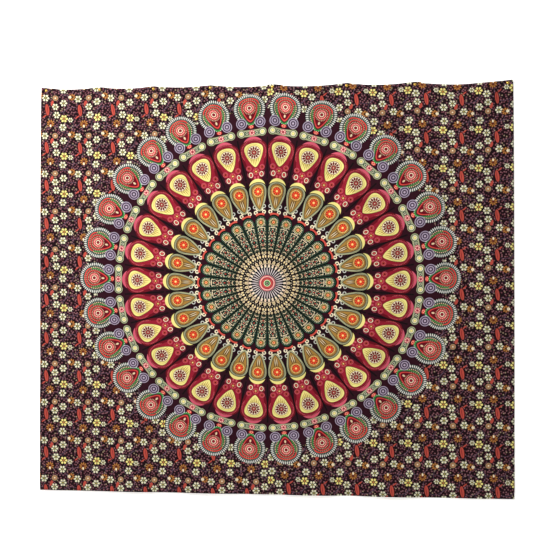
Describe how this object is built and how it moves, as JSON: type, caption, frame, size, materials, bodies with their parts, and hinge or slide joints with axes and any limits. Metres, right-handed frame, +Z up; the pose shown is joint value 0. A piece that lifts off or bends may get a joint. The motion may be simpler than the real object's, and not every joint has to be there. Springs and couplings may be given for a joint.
{
  "type": "tapestry wall hanging",
  "caption": "Rectangular printed cotton wall hanging with turned and stitched hems, held along its top edge by thumb tacks.",
  "frame": {"origin": "where the fifth tack's needle enters the wall, on the hanging's centre line", "axes": "+X to the viewer's right along the hanging's width, +Y into the wall along the needles, +Z up"},
  "size_m": [1.5, 0.013, 1.3],
  "materials": {
    "cloth": "printed plain-weave cotton",
    "hem": "reverse of printed cotton",
    "thread": "spun polyester thread",
    "tack_brass": "polished",
    "needle_steel": "drawn wire"
  },
  "bodies": {
    "hanger": {"cloth_upper": "cloth", "hem_top": "hem", "hem_left_upper": "hem", "hem_right_upper": "hem", "stitch_top": "thread", "stitch_left_upper": "thread", "stitch_right_upper": "thread"},
    "drop": {"cloth_lower": "cloth", "hem_bottom": "hem", "hem_left_lower": "hem", "hem_right_lower": "hem", "stitch_bottom": "thread", "stitch_left_lower": "thread", "stitch_right_lower": "thread"},
    "tack_1": {"tack_cap_1": "tack_brass", "tack_needle_1": "needle_steel"},
    "tack_2": {"tack_cap_2": "tack_brass", "tack_needle_2": "needle_steel"},
    "tack_3": {"tack_cap_3": "tack_brass", "tack_needle_3": "needle_steel"},
    "tack_4": {"tack_cap_4": "tack_brass", "tack_needle_4": "needle_steel"},
    "tack_5": {"tack_cap_5": "tack_brass", "tack_needle_5": "needle_steel"},
    "tack_6": {"tack_cap_6": "tack_brass", "tack_needle_6": "needle_steel"},
    "tack_7": {"tack_cap_7": "tack_brass", "tack_needle_7": "needle_steel"},
    "tack_8": {"tack_cap_8": "tack_brass", "tack_needle_8": "needle_steel"}
  },
  "joints": [
    {"name": "lift_out", "type": "hinge", "parent": "hanger", "child": "drop", "pos_m": [0, -0.0009, -0.2025], "axis": [-1, 0, 0], "range_deg": [0, 35]},
    {"name": "tack_1_pull", "type": "slide", "parent": "hanger", "child": "tack_1", "axis": [0, -1, 0], "range_m": [0, 0.014]},
    {"name": "tack_2_pull", "type": "slide", "parent": "hanger", "child": "tack_2", "axis": [0, -1, 0], "range_m": [0, 0.014]},
    {"name": "tack_3_pull", "type": "slide", "parent": "hanger", "child": "tack_3", "axis": [0, -1, 0], "range_m": [0, 0.014]},
    {"name": "tack_4_pull", "type": "slide", "parent": "hanger", "child": "tack_4", "axis": [0, -1, 0], "range_m": [0, 0.014]},
    {"name": "tack_5_pull", "type": "slide", "parent": "hanger", "child": "tack_5", "axis": [0, -1, 0], "range_m": [0, 0.014]},
    {"name": "tack_6_pull", "type": "slide", "parent": "hanger", "child": "tack_6", "axis": [0, -1, 0], "range_m": [0, 0.014]},
    {"name": "tack_7_pull", "type": "slide", "parent": "hanger", "child": "tack_7", "axis": [0, -1, 0], "range_m": [0, 0.014]},
    {"name": "tack_8_pull", "type": "slide", "parent": "hanger", "child": "tack_8", "axis": [0, -1, 0], "range_m": [0, 0.014]}
  ]
}
